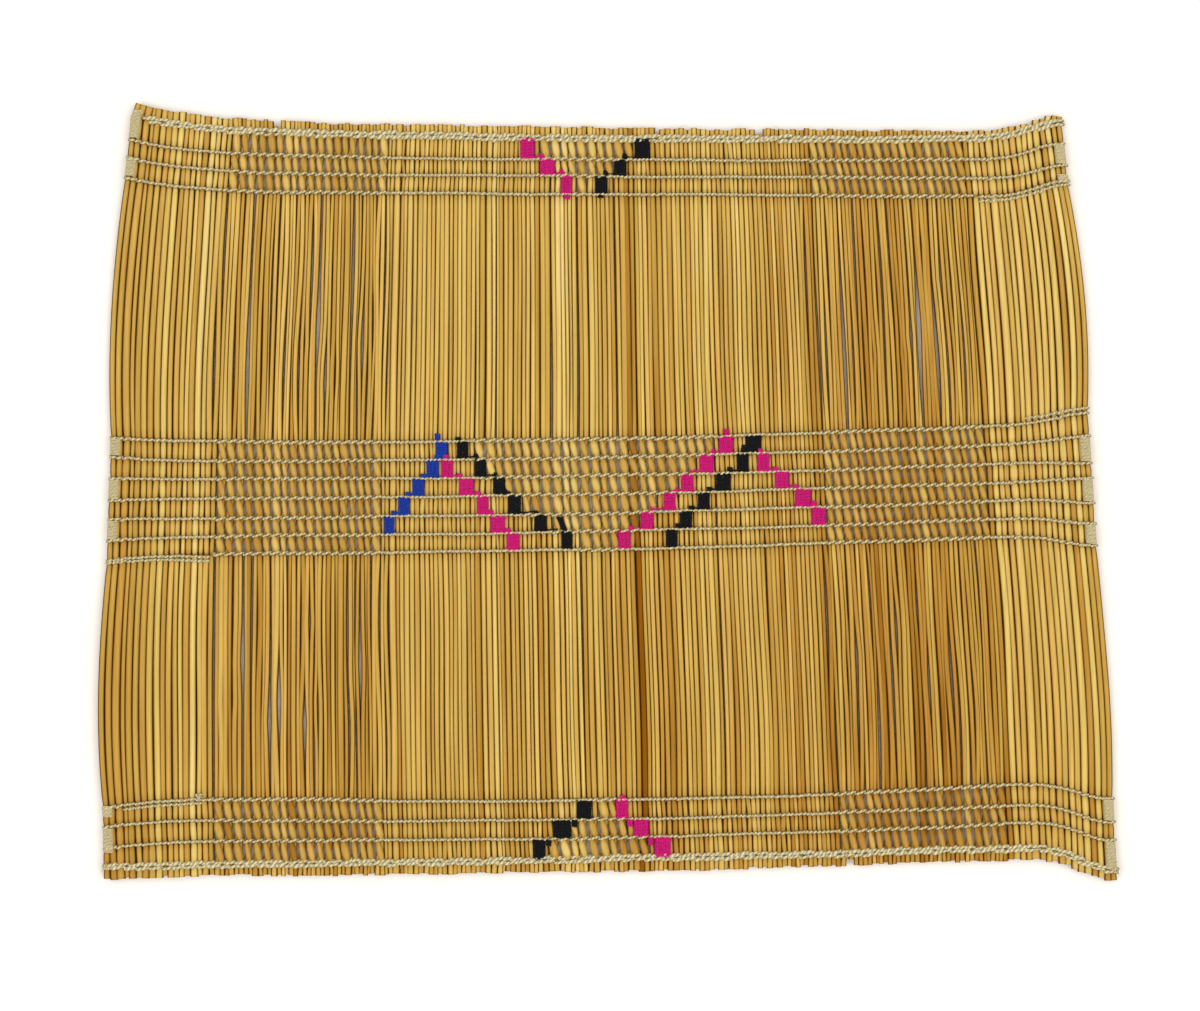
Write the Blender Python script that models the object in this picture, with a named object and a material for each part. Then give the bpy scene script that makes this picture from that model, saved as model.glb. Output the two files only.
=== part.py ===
"""A twined rush placemat, lying flat: one ribbed sheet of rush stems, rows of twined cord that pass over
and under the stems and wind down the side edges from row to row, a wider braid of cord at each end, and
stepped chains of coloured yarn blocks. Lengths are in millimetres until the points go into a mesh."""

import math
import random
from collections import namedtuple

import bpy

MM = 0.001

# Driving dimensions. +X runs along the rows, +Y along the stems and +Z up from the table.
MAT_WIDTH = 450.0
STEM_COUNT = 205
EDGE_STEM_WIDTH = 1.16
EDGE_STEM_SHARE = 0.1
CORD_THICKNESS = 0.6
CORD_WIDTH = 1.5
CLEARANCE = 0.3
STEM_THICKNESS = 2.0
GROOVE_DEPTH = 0.9
STEM_UNEVENNESS = 0.12
STUB_UNEVENNESS = 0.8
STUB_ROUNDING = 0.5
WHIPPING_WIDTH = 4.6
BRAID_WIDTH = 4.4
BRAID_THICKNESS = 0.9
BRAID_VALLEY = 0.3
BLOCK_THICKNESS = 0.5
CARRY_WIDTH = 2.0
CARRY_THICKNESS = 0.4
CARRY_RAMP = 0.6

# Heights worked out from them: the cord under the stems rests on the table, then come the stems, the
# cord over them, and the yarn that is carried across a row.
STEM_UNDERSIDE = CORD_THICKNESS + CLEARANCE
STEM_CREST = STEM_UNDERSIDE + STEM_THICKNESS
OVER_CORD = STEM_CREST + CLEARANCE
CARRY_UNDERSIDE = OVER_CORD + CORD_THICKNESS + CLEARANCE

# Every line that runs across the mat. Its height at a share s of the mat's width, from 0 at the left edge
# to 1 at the right, is middle + tilt (s - 1/2) + bow (s - 1/2)^2, and its two ends bend by left_rise and
# right_rise, each of which fades out within a few centimetres of the edge. The right ends level off again.
Line = namedtuple("Line", "middle tilt bow left_rise right_rise")
LEFT_FADE = 0.06
RIGHT_FADE = 0.045
LINES = {
    "top_edge": Line(160.8, -5.5, 3.9, 7.4, 6.8),
    "top_braid": Line(156.7, -3.8, 8.9, 5.7, 6.5),
    "top_2": Line(147.3, -2.4, 5.4, 6.7, 7.0),
    "top_3": Line(140.0, -2.3, 0.0, 7.4, 5.8),
    "top_4": Line(132.0, -2.2, -0.1, 6.3, 7.4),
    "upper_stretch": Line(80.0, 2.0, 6.0, 3.0, 7.0),
    "middle_1": Line(23.6, 8.9, 14.1, 1.4, 3.7),
    "middle_2": Line(15.6, 9.0, 10.3, 1.9, 2.4),
    "middle_3": Line(7.5, 8.2, 11.2, 0.1, -1.1),
    "middle_4": Line(-0.6, 8.6, 8.9, -1.0, 0.6),
    "middle_5": Line(-9.1, 9.6, 10.3, -0.8, -3.0),
    "middle_6": Line(-17.1, 9.2, 10.6, -2.3, -3.8),
    "middle_7": Line(-25.1, 8.8, 12.7, -4.9, -6.0),
    "lower_stretch": Line(-84.0, 8.0, 22.0, -6.0, -12.0),
    "bottom_1": Line(-136.1, 6.6, 25.2, -6.6, -8.8),
    "bottom_2": Line(-144.5, 7.7, 19.3, -4.5, -10.0),
    "bottom_3": Line(-152.7, 8.8, 17.8, -5.2, -10.0),
    "bottom_braid": Line(-162.0, 9.4, 5.9, -0.3, -11.3),
    "bottom_edge": Line(-166.9, 8.6, 11.6, -2.4, -11.2),
}

# The mat's side edges, as the two ends of the lines that carry the sheet's own points.
Ends = namedtuple("Ends", "line left_x right_x")
SIDES = (
    Ends("top_edge", -208.6, 200.8),
    Ends("top_braid", -210.8, 200.2),
    Ends("top_4", -213.7, 203.2),
    Ends("upper_stretch", -219.8, 210.6),
    Ends("middle_1", -219.9, 212.0),
    Ends("middle_7", -221.8, 215.8),
    Ends("lower_stretch", -225.3, 221.8),
    Ends("bottom_1", -223.4, 223.1),
    Ends("bottom_edge", -222.8, 224.8),
)

# Short notches in the cut ends, where a stub has broken off: place as a share of the width, and depth.
Notch = namedtuple("Notch", "end share stems depth")
NOTCHES = (
    Notch("top", 0.133, 2, 1.8),
    Notch("top", 0.563, 1, 1.6),
    Notch("top", 0.67, 2, 1.5),
    Notch("bottom", 0.735, 2, 1.9),
)

# Each chain of yarn blocks: the line above its first block, and the middle and the width of each block
# across the mat.
Chain = namedtuple("Chain", "colour first_line middles widths")
CHAINS = {
    "blue_chain": Chain("blue", "middle_1", (-73.8, -77.7, -84.1, -90.4, -96.8),
                        (5.1, 5.3, 5.1, 4.9, 4.4)),
    "pink_chain_left": Chain("pink", "middle_2", (-71.3, -62.6, -55.5, -48.9, -42.1),
                             (4.9, 6.2, 5.0, 6.2, 5.5)),
    "black_chain_left": Chain("black", "middle_1", (-64.4, -56.7, -48.3, -41.5, -30.1, -18.2),
                              (4.9, 4.8, 5.3, 5.5, 5.3, 4.6)),
    "pink_chain_right": Chain("pink", "middle_1", (52.0, 43.4, 34.9, 27.1, 17.1, 7.1),
                              (6.2, 6.2, 5.3, 5.1, 5.3, 5.3)),
    "black_chain_right": Chain("black", "middle_1", (64.0, 59.5, 51.0, 42.3, 34.4, 28.1),
                               (6.5, 5.2, 6.2, 5.3, 5.3, 5.3)),
    "pink_chain_outer": Chain("pink", "middle_2", (68.7, 76.8, 86.1, 93.2),
                              (5.1, 5.9, 6.8, 6.1)),
    "pink_chain_top": Chain("pink", "top_braid", (-35.8, -27.0, -18.5),
                            (6.0, 6.2, 4.6)),
    "black_chain_top": Chain("black", "top_braid", (15.1, 5.4, -3.0),
                             (6.8, 5.2, 5.5)),
    "black_chain_bottom": Chain("black", "bottom_1", (-10.7, -20.4, -30.5),
                                (6.5, 7.5, 5.2)),
    "pink_chain_bottom": Chain("pink", "bottom_1", (6.1, 14.5, 24.1),
                               (5.5, 6.4, 7.1)),
}

TWINING = {
    "top_twining": ("top_2", "top_3", "top_4"),
    "middle_twining": tuple(f"middle_{row}" for row in range(1, 8)),
    "bottom_twining": ("bottom_1", "bottom_2", "bottom_3"),
}
# The side down which the cord is wound from a band's first row to its second. It changes at each row. The
# outer bands' cord is wound on to the braid beside them as well, and stops short of it.
FIRST_WHIPPING = {"top_twining": "right", "middle_twining": "left", "bottom_twining": "right"}
WOUND_FROM_BRAID = {"top_twining": "top_braid"}
WOUND_TO_BRAID = {"bottom_twining": "bottom_braid"}

# The middle of the mat's whole length and width, as the lines above place it.
MIDDLE_X = 0.16
MIDDLE_Y = -0.15

LINE_ORDER = list(LINES)


def line_height(name, share):
    """The height of a line at a share of the mat's width."""
    line = LINES[name]
    height = line.middle + line.tilt * (share - 0.5) + line.bow * (share - 0.5) ** 2
    height += line.left_rise * math.exp(-share / LEFT_FADE)
    return height + line.right_rise * math.exp(-(((1 - share) / RIGHT_FADE) ** 2))


SIDE_POINTS = {
    "left": [(line_height(ends.line, 0), ends.left_x) for ends in SIDES],
    "right": [(line_height(ends.line, 1), ends.right_x) for ends in SIDES],
}


def side_x(side, height):
    """Where a side edge of the mat is at a height, straight between the points of SIDES."""
    points = SIDE_POINTS[side]
    for (upper, upper_x), (lower, lower_x) in zip(points, points[1:]):
        if height >= lower or lower == points[-1][0]:
            break
    return upper_x + (lower_x - upper_x) * (upper - height) / (upper - lower)


def across(name, share, offset=0.0):
    """The point of a line, moved by offset along the stems, at a share of the mat's width."""
    left = side_x("left", line_height(name, 0) + offset)
    right = side_x("right", line_height(name, 1) + offset)
    return left + (right - left) * share, line_height(name, share) + offset


def share_at(name, x):
    """The share of the mat's width at which a line passes x."""
    left, _ = across(name, 0)
    right, _ = across(name, 1)
    return (x - left) / (right - left)


def plain_material(name, colour, roughness):
    material = bpy.data.materials.new(name)
    material.use_nodes = True
    shader = material.node_tree.nodes["Principled BSDF"]
    shader.inputs["Base Color"].default_value = (*colour, 1.0)
    shader.inputs["Roughness"].default_value = roughness
    shader.inputs["Metallic"].default_value = 0.0
    return material


def add_solid(name, points, faces, material):
    mesh = bpy.data.meshes.new(name)
    placed = [((x - MIDDLE_X) * MM, (y - MIDDLE_Y) * MM, z * MM) for x, y, z in points]
    mesh.from_pydata(placed, [], faces)
    mesh.materials.append(material)
    mesh.validate()
    solid = bpy.data.objects.new(name, mesh)
    bpy.context.scene.collection.objects.link(solid)
    return solid


def stem_shares():
    """The shares of the mat's width of the grooves between stems: the stems near the sides are thicker."""
    middles = [(stem + 0.5) / STEM_COUNT for stem in range(STEM_COUNT)]
    near_side = [min(middle, 1 - middle) < EDGE_STEM_SHARE for middle in middles]
    widths = [EDGE_STEM_WIDTH if near else 1.0 for near in near_side]
    grooves = [0.0]
    for width in widths:
        grooves.append(grooves[-1] + width / sum(widths))
    return grooves


def stub_cuts(end, dice):
    """How far each stem's cut end stands beyond or short of the mat's end line."""
    cuts = [dice.uniform(-STUB_UNEVENNESS, STUB_UNEVENNESS) for _ in range(STEM_COUNT)]
    for notch in NOTCHES:
        if notch.end == end:
            first = round(notch.share * STEM_COUNT)
            cuts[first : first + notch.stems] = [-notch.depth] * notch.stems
    return cuts


def stem_sheet(material):
    """The stems as one closed sheet: a flat underside, and a rib on top for every stem."""
    dice = random.Random(11)
    grooves = stem_shares()
    columns = []
    for stem in range(STEM_COUNT):
        columns += [grooves[stem], (grooves[stem] + grooves[stem + 1]) / 2]
    columns.append(1.0)
    crests = [STEM_CREST - dice.uniform(0, STEM_UNEVENNESS) for _ in range(STEM_COUNT)]
    cuts = {end: stub_cuts(end, dice) for end in ("top", "bottom")}
    last_row = len(SIDES) - 1

    def point(row, column):
        offset = 0.0
        stem = min(column // 2, STEM_COUNT - 1)
        is_crest = column % 2 == 1
        if row in (0, last_row):
            end, outwards = ("top", 1) if row == 0 else ("bottom", -1)
            before = max(stem - 1, 0)
            reach = cuts[end][stem] if is_crest else min(cuts[end][stem], cuts[end][before])
            offset = outwards * (reach - (0 if is_crest else STUB_ROUNDING))
        share = columns[column]
        name = SIDES[row].line
        left, right = SIDES[row].left_x, SIDES[row].right_x
        x = left + (right - left) * share
        z = crests[stem] if is_crest else STEM_CREST - GROOVE_DEPTH
        return x, line_height(name, share) + offset, z

    width = len(columns)
    points = [point(row, column) for row in range(last_row + 1) for column in range(width)]
    top = [[row * width + column for column in range(width)] for row in range(last_row + 1)]
    faces = []
    for upper, lower in zip(top, top[1:]):
        for column in range(width - 1):
            faces.append((upper[column], lower[column], lower[column + 1], upper[column + 1]))

    # The underside has a point below each groove of the two ends and below each point of the side edges.
    under = {}

    def add_under(index):
        x, y, _ = points[index]
        under[index] = len(points)
        points.append((x, y, STEM_UNDERSIDE))

    ring = [row[0] for row in top]
    ring += top[-1][2::2]
    ring += [row[-1] for row in reversed(top[:-1])]
    ring += top[0][-3:0:-2]
    for index in ring:
        add_under(index)
    faces.append([under[index] for index in reversed(ring)])
    for column in range(0, width - 2, 2):
        low = top[-1][column : column + 3]
        faces.append((low[2], low[1], low[0], under[low[0]], under[low[2]]))
        high = top[0][column : column + 3]
        faces.append((high[0], high[1], high[2], under[high[2]], under[high[0]]))
    for upper, lower in zip(top, top[1:]):
        faces.append((upper[0], under[upper[0]], under[lower[0]], lower[0]))
        faces.append((lower[-1], under[lower[-1]], under[upper[-1]], upper[-1]))
    return add_solid("stem_sheet", points, faces, material)


def ring_shares():
    """Shares of the width at which a row has points: close together where its ends bend."""
    near = (0.0, WHIPPING_WIDTH / MAT_WIDTH, 0.03, 0.055, 0.09, 0.15, 0.24, 0.35, 0.45)
    return list(near) + [1 - share for share in reversed(near)]


def wound_band(name, levels, whippings, thickness, material):
    """One closed solid of cord wound round the sheet. levels are (line, offset along the stems, how far
    the face is let down), from the top of the photo's side to the bottom. Cord fills the space between a
    row's own two levels, and between rows only down the side edge named in whippings."""
    shares = ring_shares()
    last = len(shares) - 1
    stations = [(index, "over") for index in range(last + 1)]
    stations += [(index, "under") for index in range(last, -1, -1)]
    count = len(stations)
    points = []
    for line, offset, dip in levels:
        for index, side in stations:
            x, y = across(line, shares[index], offset)
            outwards = {0: -1, last: 1}.get(index, 0)
            inner_z = OVER_CORD if side == "over" else CORD_THICKNESS
            outer_z = OVER_CORD + thickness - dip if side == "over" else 0.0
            points.append((x + outwards * CLEARANCE, y, inner_z))
            points.append((x + outwards * (CLEARANCE + CORD_THICKNESS), y, outer_z))

    def vertex(level, station, is_outer):
        return (level * count + station % count) * 2 + is_outer

    # A segment runs from its station to the next one. The last of the upper run turns the right edge
    # and the last of all turns the left edge.
    edge_segments = {
        "right": {last - 1, last, last + 1},
        "left": {count - 2, count - 1, 0},
    }

    def is_solid(level, segment):
        if not 0 <= level < len(levels) - 1:
            return False
        side = whippings[level]
        return side == "row" or segment % count in edge_segments[side]

    faces = []
    for level in range(len(levels) - 1):
        for station in range(count):
            if not is_solid(level, station):
                continue
            here, beyond = (level, station), (level, station + 1)
            below, diagonal = (level + 1, station), (level + 1, station + 1)
            faces.append([vertex(*at, 1) for at in (here, below, diagonal, beyond)])
            faces.append([vertex(*at, 0) for at in (here, beyond, diagonal, below)])
            walls = (
                ((level - 1, station), here, beyond),
                ((level + 1, station), diagonal, below),
                ((level, station - 1), below, here),
                ((level, station + 1), beyond, diagonal),
            )
            for neighbour, start, end in walls:
                if not is_solid(*neighbour):
                    faces.append([vertex(*start, 0), vertex(*start, 1), vertex(*end, 1), vertex(*end, 0)])
    return add_solid(name, points, faces, material)


def twining(name, material):
    """The rows of one band, joined by the cord that is wound down the side edges from row to row."""
    beside_braid = BRAID_WIDTH / 2 + CLEARANCE
    other = {"left": "right", "right": "left"}
    side = FIRST_WHIPPING[name]
    levels, whippings = [], []
    if name in WOUND_FROM_BRAID:
        levels.append((WOUND_FROM_BRAID[name], -beside_braid, 0.0))
        side = other[side]
    for row in TWINING[name]:
        if levels:
            whippings.append(side)
            side = other[side]
        levels += [(row, CORD_WIDTH / 2, 0.0), (row, -CORD_WIDTH / 2, 0.0)]
        whippings.append("row")
    if name in WOUND_TO_BRAID:
        levels.append((WOUND_TO_BRAID[name], beside_braid, 0.0))
        whippings.append(side)
    return wound_band(name, levels, whippings, CORD_THICKNESS, material)


def end_braid(name, material):
    """A double row of twining: two ridges with a shallow valley between them."""
    half = BRAID_WIDTH / 2
    levels = [(name, half, 0.0), (name, 0.0, BRAID_VALLEY), (name, -half, 0.0)]
    return wound_band(name, levels, ["row", "row"], BRAID_THICKNESS, material)


def half_width(name):
    return BRAID_WIDTH / 2 if name.endswith("braid") else CORD_WIDTH / 2


def yarn_chain(name, chain, material):
    """Blocks of wound yarn, each between two rows, joined by the yarn carried over the row at the corner
    where they meet. The solid is a run of four-sided sections from the first block to the last."""
    first = LINE_ORDER.index(chain.first_line)
    sections = []

    def section(line, offset, low_x, high_x, low_z, high_z):
        low_y = line_height(line, share_at(line, low_x)) + offset
        high_y = line_height(line, share_at(line, high_x)) + offset
        sections.append(((low_x, low_y, low_z), (high_x, high_y, low_z), (high_x, high_y, high_z),
                         (low_x, low_y, high_z)))

    block_z = (OVER_CORD, OVER_CORD + BLOCK_THICKNESS)
    carry_z = (CARRY_UNDERSIDE, CARRY_UNDERSIDE + CARRY_THICKNESS)
    for step, (middle, block_width) in enumerate(zip(chain.middles, chain.widths)):
        half = block_width / 2
        above, below = LINE_ORDER[first + step], LINE_ORDER[first + step + 1]
        top = -half_width(above) - CLEARANCE
        bottom = half_width(below) + CLEARANCE
        is_first, is_last = step == 0, step == len(chain.middles) - 1
        full = (middle - half, middle + half)
        section(above, top - (0 if is_first else CARRY_RAMP), *full, *block_z)
        section(below, bottom + (0 if is_last else CARRY_RAMP), *full, *block_z)
        if not is_last:
            following = chain.middles[step + 1]
            next_half = chain.widths[step + 1] / 2
            towards = math.copysign(1, following - middle)
            leaving = middle + towards * (half - CARRY_WIDTH / 2)
            arriving = following - towards * (next_half - CARRY_WIDTH / 2)
            if abs(following - middle) < half + next_half:
                leaving = arriving = (leaving + arriving) / 2
            for line_offset, at in ((bottom, leaving), (-bottom, arriving)):
                section(below, line_offset, at - CARRY_WIDTH / 2, at + CARRY_WIDTH / 2, *carry_z)
    points = [point for corners in sections for point in corners]
    faces = [(3, 2, 1, 0)]
    for start in range(0, len(points) - 4, 4):
        for corner in range(4):
            following = (corner + 1) % 4
            faces.append((start + corner, start + following, start + 4 + following, start + 4 + corner))
    end = len(points) - 4
    faces.append((end, end + 1, end + 2, end + 3))
    return add_solid(name, points, faces, material)


def clear_scene():
    for leftover in list(bpy.data.objects):
        bpy.data.objects.remove(leftover, do_unlink=True)


clear_scene()
straw = plain_material("rush_straw", (0.62, 0.40, 0.12), 0.5)
cord = plain_material("twining_cord", (0.55, 0.47, 0.27), 0.85)
yarn = {
    "pink": plain_material("pink_yarn", (0.60, 0.015, 0.19), 0.9),
    "black": plain_material("black_yarn", (0.012, 0.013, 0.016), 0.9),
    "blue": plain_material("blue_yarn", (0.013, 0.04, 0.32), 0.9),
}
stem_sheet(straw)
for band in TWINING:
    twining(band, cord)
for braid in ("top_braid", "bottom_braid"):
    end_braid(braid, cord)
for chain_name, chain_row in CHAINS.items():
    yarn_chain(chain_name, chain_row, yarn[chain_row.colour])
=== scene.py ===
import math
from collections import namedtuple

import bpy
import numpy as np
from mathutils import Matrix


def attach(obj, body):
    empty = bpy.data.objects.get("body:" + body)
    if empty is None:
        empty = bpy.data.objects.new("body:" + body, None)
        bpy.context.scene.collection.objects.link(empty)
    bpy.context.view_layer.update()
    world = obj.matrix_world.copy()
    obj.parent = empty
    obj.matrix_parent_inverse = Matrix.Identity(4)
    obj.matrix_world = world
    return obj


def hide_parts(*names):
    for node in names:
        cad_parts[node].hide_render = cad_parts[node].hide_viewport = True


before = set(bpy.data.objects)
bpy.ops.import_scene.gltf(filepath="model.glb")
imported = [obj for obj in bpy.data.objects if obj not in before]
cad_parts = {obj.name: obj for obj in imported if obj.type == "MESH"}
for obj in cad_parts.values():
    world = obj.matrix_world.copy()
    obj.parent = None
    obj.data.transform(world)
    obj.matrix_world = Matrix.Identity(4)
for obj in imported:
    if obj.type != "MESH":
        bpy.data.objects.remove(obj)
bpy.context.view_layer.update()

# Rush stems. The mat's body is 205 dried rush stems laid side by side, each with a width and a tone of its
# own. Every row of cord pinches them, and between the rows they swell again. In the openwork two
# neighbours cross in each cell, and in the two long stretches the stems lean, part and crowd freely.

MM = 0.001
STEM_COUNT = 205
MEAN_WIDTH = 432.0
STEM_MIDDLE = 1.9
ABOVE_TABLE = 0.03
WIDTH_SPREAD = 0.14
OUTER_SHARE = 0.1
OUTER_WIDTH = 1.25
OPENWORK_WIDTH = 0.92
SIDE_OPENWORK = ((0.106, 0.28), (0.727, 0.892))
FULLNESS = 1.2
FLATNESS = 0.67
PINCH = 0.74
PINCH_REACH = 1.3
SHADE_REACH = 0.9
SWELL = 1.0
FRONT_SWELL = 1.28
PAIR_BLEND = 0.5
REAR_SWELL = 1.05
PAIR_PULL = 0.86
FRONT_LIFT = 0.95
REAR_DROP = 0.45
# How much less painted flank shade a crossing stem gets in the middle of its cell, where it stands clear.
CLEAR_PAINTED_FLANK_SHADE = 0.7
STEM_LAYERS = 0.6
CUT_UNEVENNESS = 0.6
CUT_EXTRA = 0.7
CUT_ROUNDING = 0.95
CUT_SHADE = 0.35
STUB_SPREAD = 1.06
CORNER_SHARE = 0.03
BOWED_SHARE = 0.08
SWAY = 0.16

# Every line that runs across the mat, from the top edge down, in the way the solids have it: its height at
# a share s of the mat's width is middle + tilt (s - 1/2) + bow (s - 1/2)^2, and both ends bend.
Line = namedtuple("Line", "middle tilt bow left_rise right_rise")
LEFT_FADE = 0.06
RIGHT_FADE = 0.045
LINES = {
    "top_edge": Line(160.8, -5.5, 3.9, 7.4, 6.8),
    "top_braid": Line(156.7, -3.8, 8.9, 5.7, 6.5),
    "top_2": Line(147.3, -2.4, 5.4, 6.7, 7.0),
    "top_3": Line(140.0, -2.3, 0.0, 7.4, 5.8),
    "top_4": Line(132.0, -2.2, -0.1, 6.3, 7.4),
    "upper_stretch": Line(80.0, 2.0, 6.0, 3.0, 7.0),
    "middle_1": Line(23.6, 8.9, 14.1, 1.4, 3.7),
    "middle_2": Line(15.6, 9.0, 10.3, 1.9, 2.4),
    "middle_3": Line(7.5, 8.2, 11.2, 0.1, -1.1),
    "middle_4": Line(-0.6, 8.6, 8.9, -1.0, 0.6),
    "middle_5": Line(-9.1, 9.6, 10.3, -0.8, -3.0),
    "middle_6": Line(-17.1, 9.2, 10.6, -2.3, -3.8),
    "middle_7": Line(-25.1, 8.8, 12.7, -4.9, -6.0),
    "lower_stretch": Line(-84.0, 8.0, 22.0, -6.0, -12.0),
    "bottom_1": Line(-136.1, 6.6, 25.2, -6.6, -8.8),
    "bottom_2": Line(-144.5, 7.7, 19.3, -4.5, -10.0),
    "bottom_3": Line(-152.7, 8.8, 17.8, -5.2, -10.0),
    "bottom_braid": Line(-162.0, 9.4, 5.9, -0.3, -11.3),
    "bottom_edge": Line(-166.9, 8.6, 11.6, -2.4, -11.2),
}
Ends = namedtuple("Ends", "line left_x right_x")
SIDES = (
    Ends("top_edge", -208.6, 200.8),
    Ends("top_braid", -210.8, 200.2),
    Ends("top_4", -213.7, 203.2),
    Ends("upper_stretch", -219.8, 210.6),
    Ends("middle_1", -219.9, 212.0),
    Ends("middle_7", -221.8, 215.8),
    Ends("lower_stretch", -225.3, 221.8),
    Ends("bottom_1", -223.4, 223.1),
    Ends("bottom_edge", -222.8, 224.8),
)
MIDDLE_X = 0.16
MIDDLE_Y = -0.15
LINE_ORDER = list(LINES)
HELD_LINES = [name for name in LINE_ORDER if not name.endswith("stretch")]

# The chains of yarn blocks are placed here because the middle openwork lies between two of them. Each has
# the line above its first block, and the middle and the width of each block across the mat.
Chain = namedtuple("Chain", "colour first_line middles widths")
CHAINS = {
    "blue_chain": Chain("blue", "middle_1", (-73.8, -77.7, -84.1, -90.4, -96.8), (5.1, 5.3, 5.1, 4.9, 4.4)),
    "pink_chain_left": Chain("pink", "middle_2", (-71.3, -62.6, -55.5, -48.9, -42.1),
                             (4.9, 6.2, 5.0, 6.2, 5.5)),
    "black_chain_left": Chain("black", "middle_1", (-64.4, -56.7, -48.3, -41.5, -30.1, -18.2),
                              (4.9, 4.8, 5.3, 5.5, 5.3, 4.6)),
    "pink_chain_right": Chain("pink", "middle_1", (52.0, 43.4, 34.9, 27.1, 17.1, 7.1),
                              (6.2, 6.2, 5.3, 5.1, 5.3, 5.3)),
    "black_chain_right": Chain("black", "middle_1", (64.0, 59.5, 51.0, 42.3, 34.4, 28.1),
                               (6.5, 5.2, 6.2, 5.3, 5.3, 5.3)),
    "pink_chain_outer": Chain("pink", "middle_2", (68.7, 76.8, 86.1, 93.2), (5.1, 5.9, 6.8, 6.1)),
    "pink_chain_top": Chain("pink", "top_braid", (-35.8, -27.0, -18.5), (6.0, 6.2, 4.6)),
    "black_chain_top": Chain("black", "top_braid", (15.1, 5.4, -3.0), (6.8, 5.2, 5.5)),
    "black_chain_bottom": Chain("black", "bottom_1", (-10.7, -20.4, -30.5), (6.5, 7.5, 5.2)),
    "pink_chain_bottom": Chain("pink", "bottom_1", (6.1, 14.5, 24.1), (5.5, 6.4, 7.1)),
}
OPENWORK_BETWEEN = (
    ("pink_chain_top", "black_chain_top"),
    ("black_chain_left", "pink_chain_right"),
    ("black_chain_bottom", "pink_chain_bottom"),
)

# Places where the stems part and the table shows through: the place as a share of the mat's width, the
# height, how far along the stems the opening fades, and its width.
PARTINGS = (
    (0.198, 70, 4, 1.2), (0.2104, 74, 14, 1.6), (0.2177, 52, 8, 1.4), (0.2259, 53, 7, 1.4),
    (0.2548, 67, 14, 1.6), (0.2642, 75, 18, 1.7), (0.7852, 63, 7, 1.2), (0.7923, 86, 20, 1.2),
    (0.8148, 61, 6, 1.2), (0.8235, 70, 6, 1.2), (0.834, 75, 18, 1.6), (0.8425, 109, 10, 1.2),
    (0.858, 97, 6, 1.1), (0.8684, 85, 24, 1.9), (0.118, -93, 15, 1.6), (0.1281, -91, 8, 1.2),
    (0.1358, -73, 11, 1.3), (0.1566, -84, 23, 1.6), (0.165, -100, 8, 1.2), (0.1745, -92, 17, 2.3),
    (0.2052, -55, 5, 1.2), (0.2014, -102, 9, 1.6), (0.2119, -95, 15, 1.6), (0.2476, -81, 14, 1.6),
    (0.2558, -78, 13, 1.7), (0.7411, -78, 16, 1.9), (0.7509, -72, 10, 1.6), (0.7939, -60, 16, 2.0),
    (0.8144, -50, 10, 1.2), (0.8221, -84, 18, 1.9), (0.8437, -82, 30, 2.6), (0.8695, -73, 14, 1.6),
)
CROWDING = 1.7

# Stubs that have broken off short at the two cut ends: place as a share of the width, and depth.
Notch = namedtuple("Notch", "end share stems depth")
NOTCHES = (
    Notch("top_edge", 0.133, 2, 1.8), Notch("top_edge", 0.563, 1, 1.6), Notch("top_edge", 0.67, 2, 1.5),
    Notch("bottom_edge", 0.735, 2, 1.9),
)


def line_height(name, share):
    """The height of a line at a share of the mat's width."""
    line = LINES[name]
    height = line.middle + line.tilt * (share - 0.5) + line.bow * (share - 0.5) ** 2
    height += line.left_rise * math.exp(-share / LEFT_FADE)
    height += line.right_rise * math.exp(-(((1 - share) / RIGHT_FADE) ** 2))
    phase = 2.1 * LINE_ORDER.index(name)
    return height + SWAY * (math.sin(19 * share + phase) + 0.6 * math.sin(47 * share + 2.7 * phase))


SIDE_POINTS = {
    "left": [(line_height(ends.line, 0), ends.left_x) for ends in SIDES],
    "right": [(line_height(ends.line, 1), ends.right_x) for ends in SIDES],
}


def side_x(side, height):
    """Where a side edge of the mat is at a height."""
    points = SIDE_POINTS[side]
    for (upper, upper_x), (lower, lower_x) in zip(points, points[1:]):
        if height >= lower or lower == points[-1][0]:
            break
    return upper_x + (lower_x - upper_x) * (upper - height) / (upper - lower)


def across(name, share, offset=0.0):
    """The point of a line, moved by offset along the stems, at a share of the mat's width."""
    left = side_x("left", line_height(name, 0) + offset)
    right = side_x("right", line_height(name, 1) + offset)
    return left + (right - left) * share, line_height(name, share) + offset


def share_at(name, x):
    """The share of the mat's width at which a line passes x."""
    left, _ = across(name, 0)
    right, _ = across(name, 1)
    return (x - left) / (right - left)


dice = np.random.RandomState(29)


def slow_change(spread, size):
    """A random number for each stem that changes slowly from one stem to the next."""
    rough = dice.normal(size=STEM_COUNT + 6 * spread)
    bell = np.exp(-0.5 * (np.arange(-3 * spread, 3 * spread + 1) / spread) ** 2)
    return np.convolve(rough, bell / np.sqrt((bell**2).sum()), "valid") * size


def usual_width(share):
    """The width of a stem against that of the stems in the mat's middle."""
    if min(share, 1 - share) < OUTER_SHARE:
        return OUTER_WIDTH
    if any(low < share < high for low, high in SIDE_OPENWORK):
        return OPENWORK_WIDTH
    return 1.0


shares = np.linspace(0, 1, 2001)
stems_before = np.cumsum([1 / usual_width(share) for share in shares])
stems_before /= stems_before[-1]
nominal = np.interp((np.arange(STEM_COUNT) + 0.5) / STEM_COUNT, stems_before, shares)
widths = np.array([usual_width(share) for share in nominal])
widths *= dice.lognormal(0, WIDTH_SPREAD, STEM_COUNT)
slot_edges = np.concatenate([[0.0], np.cumsum(widths)]) / widths.sum()
slot_middles = (slot_edges[1:] + slot_edges[:-1]) / 2
stem_radii = widths / widths.sum() * MEAN_WIDTH / 2 * FULLNESS

Cell = namedtuple("Cell", "upper lower bend")
CELLS = [
    Cell(upper, lower, {"top_4": "upper_stretch", "middle_7": "lower_stretch"}.get(upper))
    for upper, lower in zip(HELD_LINES, HELD_LINES[1:])
]


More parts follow.
